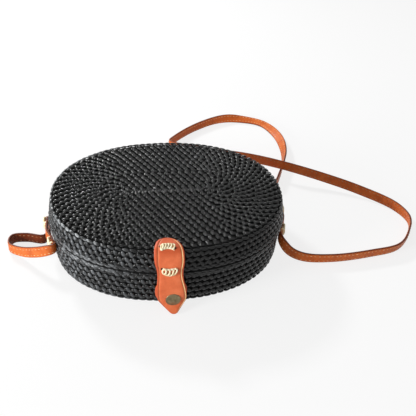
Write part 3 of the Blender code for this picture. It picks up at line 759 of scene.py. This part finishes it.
def read_table(rows, along):
    """The values of a table at a distance, between its rows or at its nearer end."""
    for low, high in zip(rows, rows[1:]):
        if along <= high[0]:
            share = max(0, (along - low[0]) / (high[0] - low[0]))
            return [between(*pair, share) for pair in zip(low[1:], high[1:])]
    return rows[-1][1:]


def closure_side():
    """Side view of the closure's inner face, in the tab's part and the flap's."""
    radius = rim_radius + gap
    middle_reach = -(rim_inset + rim_radius)
    middle_height = body_height - rim_radius
    lean = atan2(rim_inset, middle_height - lid_rim - hoop_height)
    tab = [(-tab_top_inset, body_height + gap)]
    for step in range(rim_turn_steps + 1):
        angle = between(pi / 2, lean, step / rim_turn_steps)
        tab.append((middle_reach + radius * cos(angle), middle_height + radius * sin(angle)))
    tab += [(gap, lid_rim + hoop_height), (gap, fold_height + gap / 2)]
    top, snap, tip = (gap, fold_height - gap / 2), (snap_reach, snap_height), (tip_reach, tip_height)
    points = [top, (gap, top[1] - fold_straight)]
    for near, far, shares in ((top, snap, flap_side_shares), (snap, tip, tip_side_shares)):
        for height_share, reach_share in shares:
            points.append((between(near[0], far[0], reach_share), between(far[1], near[1], height_share)))
        points.append(far)
    return tab, smooth_through(points, side_steps)


def front_place(rows, middle):
    """How flat leather lies on the front wall: its distances across, along and out."""

    def place(across, along, rise):
        reach, height, tilt = read_table(rows, along)
        foot, outward = plan_spot(reach, -1, x=middle(along) + across)
        facing = outward * cos(tilt) + upright * sin(tilt)
        return foot + upright * height + facing * rise

    return place


def end_place(side):
    """How a sewn strap end lies on an end wall, bulging between its two stitches."""

    def place(across, along, rise):
        y = end_back - along
        height = between(end_front_height, end_back_height, (y - end_front) / (end_back - end_front)) + across
        share = (back_stitch_place - y) / (back_stitch_place - front_stitch_place)
        share = max(0, min(1, share))
        foot, outward = plan_spot(-base_inset(height), side, y=y)
        stand_off = between(end_back_stand_off, end_front_stand_off, share) + end_bulge * sin(pi * share) ** 2
        return foot + upright * height + outward * (stand_off + rise + end_lean_share * across)

    return place


def lay_leather(place, stations, thickness, lines=plain_lines):
    """Leather with rounded edges and a pale line inside each, cut to stations of (half width, along).

    Lines are the places of the left and right pale line by (along, left, right).
    """
    rings = []
    for half, along in stations:
        ring = []
        for side, line in zip((-1, 1), read_table(lines, along)):
            outer = leather_edge_shares + [((1 + line) / 2, 1.0), (line + line_brow_share, 1.0)]
            outer += [(line + share, line_floor_share) for share in (line_half_share, -line_half_share)]
            outer.append((line - line_brow_share, 1.0))
            outer += [(line * share, 1.0) for share in line_inside_shares]
            part = [place(side * half * wide, along, thickness * rise) for wide, rise in outer]
            ring += part if side < 0 else [place(0, along, thickness)] + part[::-1]
        for side, shares in ((1, leather_inner_shares), (-1, leather_inner_shares[::-1])):
            ring += [place(side * half * wide, along, thickness * rise) for wide, rise in shares]
        rings.append(ring)
    left, right = [[0, 0, 0, 0, 0, pale, pale, 0, 0, 0] for pale in line_paleness]
    edge = [1, 1, 1, 0.9, 0.7, 0.5, 0.5, 0.4, 0.2, 0]
    inner_points = 2 * len(leather_inner_shares)
    marks = {
        "crease": [left + [0] + right[::-1] + [0] * inner_points] * len(rings),
        "edge": [edge + [0] + edge[::-1] + [1] * inner_points] * len(rings),
    }
    return sweep(rings, marks=marks)


def round_cord(path, radius, joined=False):
    """A cord through (place, outward) pairs."""
    rings = []
    for index, (spot, facing) in enumerate(path):
        before, after = [item[0] for item in neighbours(path, index, joined)]
        ahead = (after - before).normalized()
        beside = ahead.cross(facing).normalized()
        over = beside.cross(ahead)
        ring = []
        for side in range(cord_sides):
            angle = tau * side / cord_sides
            ring.append(spot + (beside * cos(angle) + over * sin(angle)) * radius)
        rings.append(ring)
    return sweep(rings, joined)


def gathered(parts):
    """One bmesh from several."""
    whole = bmesh.new()
    for part in parts:
        mesh = as_mesh(part, "part")
        whole.from_mesh(mesh)
        bpy.data.meshes.remove(mesh)
    return whole


def turned(profile, foot, facing, steps=snap_sides):
    """A profile of (radius, rise) spun about an axis that rises from a point."""
    shape = bmesh.new()
    side = facing.orthogonal().normalized()
    line = [shape.verts.new(foot + side * radius + facing * rise) for radius, rise in profile]
    edges = [shape.edges.new(pair) for pair in zip(line, line[1:])]
    turn = {"cent": foot, "axis": facing, "angle": tau, "steps": steps}
    bmesh.ops.spin(shape, geom=line + edges, use_merge=True, **turn)
    bmesh.ops.remove_doubles(shape, verts=shape.verts, dist=0.00001)
    shape.normal_update()
    bmesh.ops.recalc_face_normals(shape, faces=shape.faces)
    return shape


def sew_stitch(name, place, spot, form, leather, finishes, body):
    """A chain of fat slanted loops of straw cord over a strand on either side, between two punched holes."""
    length, breadth, loops, arch, belly = form
    radius = breadth * cord_share
    half = length / 2 - radius

    def on(across, over, rise):
        share = across / half
        bow = arch * share ** 2
        if over > 0:
            over *= 1 + belly * (1 - share ** 2)
        at, above = [place(spot[0] + across, spot[1] + over + bow, leather + rise + up) for up in (0, radius)]
        return at, (above - at).normalized()

    parts = []
    spacing = (length - breadth * loop_margin_share) / (loops - 1)
    for index in range(loops):
        middle = (index - (loops - 1) / 2) * spacing
        path = []
        for step in range(loop_steps):
            turn = tau * step / loop_steps
            over = sin(turn) * (breadth / 2 - radius)
            across = cos(turn) * spacing * loop_width_share - over * loop_lean_share
            rise = loop_rise_shares[0] + loop_rise_shares[1] * cos(turn)
            path.append(on(middle + across, over, radius * rise))
        parts.append(round_cord(path, radius, joined=True))
    for side in (-1, 1):
        path = []
        for step in range(strand_steps + 1):
            share = 2 * step / strand_steps - 1
            dip = strand_dip_share * max(0, abs(share) - strand_dip_start) / (1 - strand_dip_start)
            rise = strand_rise_shares[0] + strand_rise_shares[1] * cos(share * pi * loops)
            path.append(on(half * share, side * (breadth / 2 - radius * strand_share), radius * (rise - dip)))
        parts.append(round_cord(path, radius * strand_share))
    # The punched holes are shallow dips in the second finish, the dark cane_shadow: painted shade.
    wide, narrow = [radius * share for share in hole_shares]
    for side, over in hole_place_shares:
        at, facing = on(side * (half + radius * hole_setback_share), over * breadth, hole_lift)
        profile = [(0, 0), (wide, 0), (narrow, -hole_depth), (0, -hole_depth)]
        hole = turned(profile, at, facing, hole_sides)
        for face in hole.faces:
            face.material_index = 1
        parts.append(hole)
    return finished(gathered(parts), name + "_cord", finishes, body, "straw", name)


def make_closure(leather, straw):
    """The closure: one strip of leather that is sewn to the lid and bends at its fold.

    It returns the point and direction of the press stud on its inner face.
    """
    tab, flap = closure_side()
    rows = with_distance(tab + flap)
    tab_length = rows[len(tab) - 1][0]
    flap_length = rows[-1][0] - tab_length

    def middle(along):
        if along < tab_length:
            return closure_offset + tab_lean * (1 - along / tab_length)
        return closure_offset + tip_drift * ((along - tab_length) / flap_length) ** tip_drift_power

    outline = [tab_end_start] + round_end(tab_end_radius, tab_end_turns)
    lines = []
    for foot, length, sides, line_shares in (
        (0, tab_length, tab_flank_shares, tab_line_shares),
        (tab_length, flap_length, flap_outline_shares, flap_line_shares),
    ):
        outline += [(closure_half_width * wide, foot + length * along) for along, wide in sides]
        lines += [(foot + length * share, left, right) for share, left, right in line_shares]
    place = front_place(rows, middle)
    shape = lay_leather(place, smooth_through(outline, outline_steps), closure_leather, lines)
    # Painted shade: the tab darkens where it rises over the lid's rounded rim, carried in the edge mark.
    edge = shape.verts.layers.float["edge"]
    for corner in shape.verts:
        high = min(1, max(0, (corner.co.z - body_height + rim_radius) / rim_radius))
        corner[edge] = max(corner[edge], rim_painted_shade * high)
    strip = finished(shape, "closure_strip", leather, None, "leather", "closure_tab", "closure_flap")
    fold = place(0, tab_length, 0)
    span = upright * fold_half_span
    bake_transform(strip, "lid", "flap", tuple(fold + span), tuple(fold - span))
    sew_stitch("tab_stitch_upper", place, upper_stitch_spot, upper_stitch, closure_leather, straw, "lid")
    spot = (lower_stitch_across, tab_length - lower_stitch[1] / 2)
    sew_stitch("tab_stitch_lower", place, spot, lower_stitch, closure_leather, straw, "lid")
    along = min(rows[len(tab):], key=lambda row: abs(row[2] - snap_height))[0]
    return snap_axis(place, snap_offset - middle(along), along, closure_leather)


def snap_axis(place, across, along, thickness):
    """The point and direction of the press stud on the inner face of some leather."""
    foot = place(across, along, 0)
    return foot, (place(across, along, thickness) - foot).normalized()


def make_patch(leather, straw):
    """The patch sewn to the base behind the flap; it returns the axis of the stud that it carries."""
    rows = with_distance([(gap - base_inset(height), height) for height in (patch_top, patch_bottom)])
    place = front_place(rows, lambda along: patch_offset)
    half_height = rows[-1][0] / 2
    stations = []
    for step in range(1, patch_steps):
        turn = pi * step / patch_steps
        wide = patch_half_width * sin(turn) ** (2 / patch_power)
        over = copysign(abs(cos(turn)) ** (2 / patch_power), -cos(turn))
        stations.append((wide, half_height * (1 + over)))
    shape = lay_leather(place, stations, patch_leather)
    finished(shape, "base_patch", leather, "base", "leather", "base_tab")
    sew_stitch("base_tab_stitch", place, patch_stitch_spot, patch_stitch, patch_leather, straw, "base")
    return snap_axis(place, snap_offset - patch_offset, patch_top - snap_height, patch_leather)


def make_snap(brass, flap_axis, patch_axis):
    """The press stud's four pieces."""
    mouth = flap_axis[0] + flap_axis[1] * socket_mouth
    knob = (mouth - patch_axis[0]).dot(patch_axis[1]) - knob_clearance
    cap = [(share * cap_radius, closure_leather + rise) for share, rise in cap_side]
    stud = [(radius, patch_leather + rise) for radius, rise in stud_foot_side]
    stud += [(radius, knob + rise) for radius, rise in knob_side]
    post = post_side + [(post_radius, patch_leather), (0, patch_leather)]
    for side, axis, name, body, node in (
        (cap, flap_axis, "stud_cap", "flap", "snap_cap"),
        (socket_side, flap_axis, "stud_socket", "flap", "snap_socket"),
        (stud, patch_axis, "stud_knob", "base", "snap_stud"),
        (post, patch_axis, "stud_rivet", "base", "snap_post"),
    ):
        finished(turned(side, *axis), name, brass, body, "brass", node)


def make_strap_end(side, name, leather, straw):
    """A sewn end of the strap with its two stitches."""
    place = end_place(side)
    length = end_back - end_front
    half = strap_width / 2
    stations = round_end(half, end_turns)
    stations += [(half, half + (length - half) * step / end_steps) for step in range(1, end_steps + 1)]
    shape = lay_leather(place, stations, strap_thickness)
    finished(shape, "strap_end_leather_" + name, leather, "base", "leather", "strap_end_" + name)
    for end, y in (("front", front_stitch_place), ("back", back_stitch_place)):
        title = "strap_stitch_" + name + "_" + end
        sew_stitch(title, place, (0, end_back - y), end_stitch, strap_thickness, straw, "base")


# The woven basket

def oval_ring(inset, height):
    """The bag's oval at an inset and height, from the middle of the front round to the right."""
    ring = []
    for side in range(oval_sides):
        turn = tau * (side / oval_sides - 0.25)
        along, over = [copysign(abs(part) ** (2 / oval_power), part) for part in (cos(turn), sin(turn))]
        ring.append(Vector(((half_length - inset) * along, (half_width - inset) * over, height)))
    return ring


def spine_ring(share, height):
    """A ring of a flat face: straight between the two ends of the weave's spine, round outside them."""
    ring = []
    for point in oval_ring(0, 0):
        middle = Vector((min(max(point.x, -spine_reach), spine_reach), 0, 0))
        ring.append(between(middle, point, share) + upright * height)
    return ring


def base_inset(height):
    """How far the base's wall lies inside the oval."""
    return between(foot_inset, base_top_inset, (height - foot_radius) / (seam_height - foot_radius))


def lid_inset(height):
    """How far the lid's skirt lies inside the oval."""
    return between(lid_foot_inset, rim_inset, (height - lid_foot) / (body_height - rim_radius - lid_foot))


def ring_length(ring):
    return sum((far - near).length for near, far in zip(ring, ring[1:] + ring[:1]))


def along_ring(ring, count, phase, tilt, guide=None):
    """Places along a ring, each a matrix of along, outward over the surface, and out of it.

    They lie evenly along the guide, or the ring itself, and in line with it on rays from the middle.
    """
    guide = guide or ring
    step = ring_length(guide) / count
    frames = []
    travelled = 0
    wanted = step * phase
    for index, start in enumerate(guide):
        side = (neighbours(guide, index, True)[1] - start).length
        near, far = ring[index], neighbours(ring, index, True)[1]
        while wanted < travelled + side and len(frames) < count:
            along = (far - near).normalized()
            flat = along.cross(upright)
            facing = flat * cos(tilt) + upright * sin(tilt)
            turn = Matrix((along, along.cross(facing), facing)).transposed().to_4x4()
            frames.append(Matrix.Translation(between(near, far, (wanted - travelled) / side)) @ turn)
            wanted += step
        travelled += side
    return frames


def make_strand():
    """One visible stretch of cane: a long rounded grain of unit size, with its length along X."""
    shape = bmesh.new()
    around, along = strand_rounds
    turn = Matrix.Rotation(pi / 2, 4, "Y")
    bmesh.ops.create_uvsphere(shape, u_segments=around, v_segments=along, radius=0.5, matrix=turn)
    return as_mesh(shape, "strand")


def lay_strands(shape, frames, size, slant=0, pitch=0, lift=0.0, along=0.0, out=0.0, finish=0):
    """Lays a strand at each frame: its size, its turn to the row, and its place in its stitch."""
    for frame_at in frames:
        scale = [part * chance.uniform(1 - size_variation, 1 + size_variation) for part in size]
        slanted = radians(slant) + chance.uniform(-slant_variation, slant_variation)
        turn = Matrix.Rotation(slanted, 4, "Z") @ Matrix.Rotation(radians(pitch), 4, "Y")
        rise = lift - scale[2] / 2 + chance.uniform(-rise_variation, rise_variation)
        one = strand.copy()
        one.transform(frame_at @ Matrix.Translation((along, out, rise)) @ turn @ Matrix.Diagonal((*scale, 1)))
        if finish:
            one.polygons.foreach_set("material_index", [finish] * len(one.polygons))
        shape.from_mesh(one)
        bpy.data.meshes.remove(one)


def weave(name, rows, finish, body, *stands_for, core=None):
    """A piece of rows of cane, over a core or bare.

    A row has its ring, its count of stitches, the phase and tilt of these, their strands and a guide.
    """
    shape = core or bmesh.new()
    for ring, count, phase, tilt, strands, guide in rows:
        frames = along_ring(ring, count, phase, tilt, guide)
        for form in strands:
            shift = ring_length(ring) / count * form.get("along", 0)
            lay_strands(shape, frames, **{**form, "along": shift})
    return finished(shape, name, finish, body, "rattan", *stands_for)


def hoop_core(outer, inner, foot):
    """The plain band inside a hoop."""
    top = foot + hoop_height
    soft = hoop_core_corner
    profile = [(outer + soft, foot), (outer, foot + soft), (outer, top - soft), (outer + soft, top)]
    profile += [(inner, top), (inner, foot)]
    return sweep([oval_ring(*point) for point in profile], joined=True)


def top_rows(height, tilt):
    """The rows of a flat face, from its edge in to its spine, their stitches in line within each group."""
    rings = []
    for row in range(top_row_count):
        share = between(top_edge_share, top_middle_share, row / (top_row_count - 1))
        rings.append(spine_ring(share, height))
    rows = []
    for start, end in zip(group_starts, group_starts[1:]):
        guide = rings[(start + end - 1) // 2]
        count = round(ring_length(guide) / top_pitch)
        for row in range(start, end):
            strands = [high_strand, low_strand] if row else [high_strand]
            rows.append((rings[row], count, (row * row_shift) % 1, tilt, strands, guide))
    return rows + [(spine_ring(spine_share, height), spine_stitches, 0.0, tilt, [spine_strand], None)]


def wall_rows(places, strands, phase=0.0):
    """Rows round a wall, from (inset, height, tilt), staggered one against the next."""
    rows = []
    for index, (inset, height, tilt) in enumerate(places):
        ring = oval_ring(inset, height)
        rows.append((ring, wall_stitches, phase + (index % 2) / 2, radians(tilt), strands, None))
    return rows


def make_core(body, finish, inset_at, edge, face, way, inset, radius, middle=()):
    """A half's dark body, from its flat face round the corner to its edge and back inside.

    The way is 1 where the face is the top and -1 where it is the floor.
    """
    reach = radius - recess
    profile = [*middle, (inset + radius, face - way * recess)]
    for step in range(1, corner_steps):
        angle = pi / 2 * (1 - step / corner_steps)
        height = face - way * radius + way * reach * sin(angle)
        profile.append((inset + radius - reach * cos(angle), height))
    profile += [(inset_at(edge) + recess, edge), (inset_at(edge) + wall, edge)]
    inner = face - way * wall
    inside = inset_at(inner) + wall
    profile += [(inside, inner - way * inner_corner), (inside + inner_corner, inner)]
    shape = sweep([oval_ring(*point) for point in profile])
    return finished(shape, body + "_core", finish, body, "rattan", body + "_shell")


def make_hinge_bindings(cane):
    """The two bindings at the back, each of cane wound round the hinge's axis."""
    for side, name in ((-1, "left"), (1, "right")):
        turns = []
        for index in range(lashing_turns):
            x = side * lashing_share * half_length + (index - (lashing_turns - 1) / 2) * lashing_pitch
            path = []
            for step in range(lashing_steps):
                angle = tau * step / lashing_steps
                out = Vector((0, cos(angle), sin(angle)))
                across = Vector((x + lashing_pitch * lashing_lean_share * cos(angle), 0, 0))
                path.append((hinge + across + out * lashing_reach, out))
            turns.append(round_cord(path, lashing_pitch * lashing_cord_share, joined=True))
        finished(gathered(turns), "hinge_binding_" + name, cane, "base", "rattan", "hinge_lashing_" + name)


def make_lining(body, cloth, inset_at, edge, face, way):
    """The cloth that covers one half's inside, with a few soft ripples in its flat face."""
    near = wall + gap
    floor = face - way * near
    inset = inset_at(floor) + near
    outside = [(inset + lining_corner, floor), (inset, floor - way * lining_corner)]
    outside.append((inset_at(edge) + near, edge))
    inside = [(inset + lining_thickness, height) for inset, height in outside[::-1]]
    inside[1:] = [(inset, height - way * lining_thickness) for inset, height in inside[1:]]
    rings = [oval_ring(*point) for point in outside]
    for point in inside:
        ring = oval_ring(*point)
        if point is not inside[-1]:
            depths = [ripple_share * (0.5 + noise.noise(corner * ripple_scale)) for corner in ring]
            ring = [corner * (1 - depth) for corner, depth in zip(ring, depths)]
        rings.append(ring)
    piece = finished(sweep(rings), body + "_cloth", cloth, body, "lining", body + "_lining")


def make_basket(cane, side_cane_painted_sheen, rim_cane_painted_sheen, seam_cane_painted_sheen, shadow):
    """Both halves: their dark cores, painted shade in the weave's gaps, the rows of the weave and the cane
    wound along the edges.
    """
    middle = [(half_width / 2, body_height - recess)]
    make_core("lid", shadow, lid_inset, lid_foot, body_height, 1, rim_inset, rim_radius, middle)
    make_core("base", shadow, base_inset, base_top, 0, -1, foot_inset, foot_radius)
    # The wall's low strands take finish 1, the plain black cane, without the painted sheen of the high ones.
    stitch = [wall_high_strand, wall_low_strand]

    weave("lid_weave_top", top_rows(body_height, pi / 2), cane, "lid")
    skirt = [(lid_inset(height), height, skirt_tilt) for height in skirt_row_heights]
    weave("lid_weave_side", wall_rows(skirt, stitch), [side_cane_painted_sheen, cane], "lid")
    weave("lid_rim_binding", wall_rows([rim_row], [rim_strand], edge_phase), rim_cane_painted_sheen, "lid")
    core = hoop_core(hoop_core_inset, lid_inset(lid_rim) + wall, lid_rim)
    places = [(inset, lid_rim + height, tilt) for inset, height, tilt in lid_hoop_rows]
    rows = wall_rows(places, [hoop_strand])
    weave("lid_hoop_binding", rows, [shadow, seam_cane_painted_sheen], "lid", "lid_hoop", core=core)

    foot = base_rim - hoop_height
    core = hoop_core(base_hoop_inset + hoop_core_inset, base_inset(base_rim) + wall, foot)
    places = [(inset, foot + height, tilt) for inset, height, tilt in base_hoop_rows]
    rows = wall_rows(places, [hoop_strand])
    weave("base_hoop_binding", rows, [shadow, seam_cane_painted_sheen], "base", "base_hoop", core=core)
    side = [(base_inset(height), height, side_tilt) for height in side_row_heights]
    weave("base_weave_side", wall_rows(side, stitch), [side_cane_painted_sheen, cane], "base")
    weave("base_foot_binding", wall_rows([foot_row], [foot_strand], edge_phase), side_cane_painted_sheen, "base")
    weave("base_weave_floor", top_rows(0.0, -pi / 2), cane, "base")


place_camera()
light_stage()
black_cane = make_black_cane("black_cane")
# Copies of the black cane with a painted sheen on the bag's left end: for the walls, the rim and the seam.
side_cane_painted_sheen = make_black_cane("side_cane_painted_sheen", (0.17, 0.18, 0.19))
rim_cane_painted_sheen = make_black_cane("rim_cane_painted_sheen", (0.38, 0.40, 0.41), 0.16)
seam_cane_painted_sheen = make_black_cane("seam_cane_painted_sheen", (0.22, 0.23, 0.24), 0.08)
cane_shadow = make_cane_shadow()
closure_tones = [(0.70, 0.14, 0.045), (0.82, 0.18, 0.062), (0.90, 0.23, 0.09)]
closure_finish = make_leather("closure_leather", closure_tones, 0.5, 0.3, (0.72, 0.52, 0.45))
strap_tones = [(0.48, 0.092, 0.014), (0.60, 0.128, 0.022), (0.68, 0.17, 0.033)]
strap_finish = make_leather("strap_leather", strap_tones, 0.45, 0.2, (0.25, 0.22, 0.3))
pale_straw = make_straw("pale_straw", (1.0, 1.0, 1.0))
pale_thread = make_straw("pale_thread", (0.9, 0.62, 0.45))
tan_thread = make_straw("tan_thread", (0.45, 0.28, 0.20))
brass = make_brass()
cloth = make_cloth()
straw = [pale_straw, cane_shadow]
strand = make_strand()

make_strap(strap_finish, [pale_thread, tan_thread])
make_basket(black_cane, side_cane_painted_sheen, rim_cane_painted_sheen, seam_cane_painted_sheen, cane_shadow)
flap_axis = make_closure(closure_finish, straw)
patch_axis = make_patch(closure_finish, straw)
make_snap(brass, flap_axis, patch_axis)
for side, name in ((-1, "left"), (1, "right")):
    make_strap_end(side, name, strap_finish, straw)
make_hinge_bindings(black_cane)
make_lining("base", cloth, base_inset, seam_height - lining_setback, 0, -1)
make_lining("lid", cloth, lid_inset, seam_height + lining_setback, body_height, 1)

finishes = {
    "rattan": black_cane, "leather": closure_finish, "straw": pale_straw, "brass": brass, "lining": cloth,
}
for entry in frame["record"]["subparts"]:
    node = frame["nodes"][entry["node"]]
    node.data.materials.clear()
    node.data.materials.append(finishes[entry["material_slot"]])
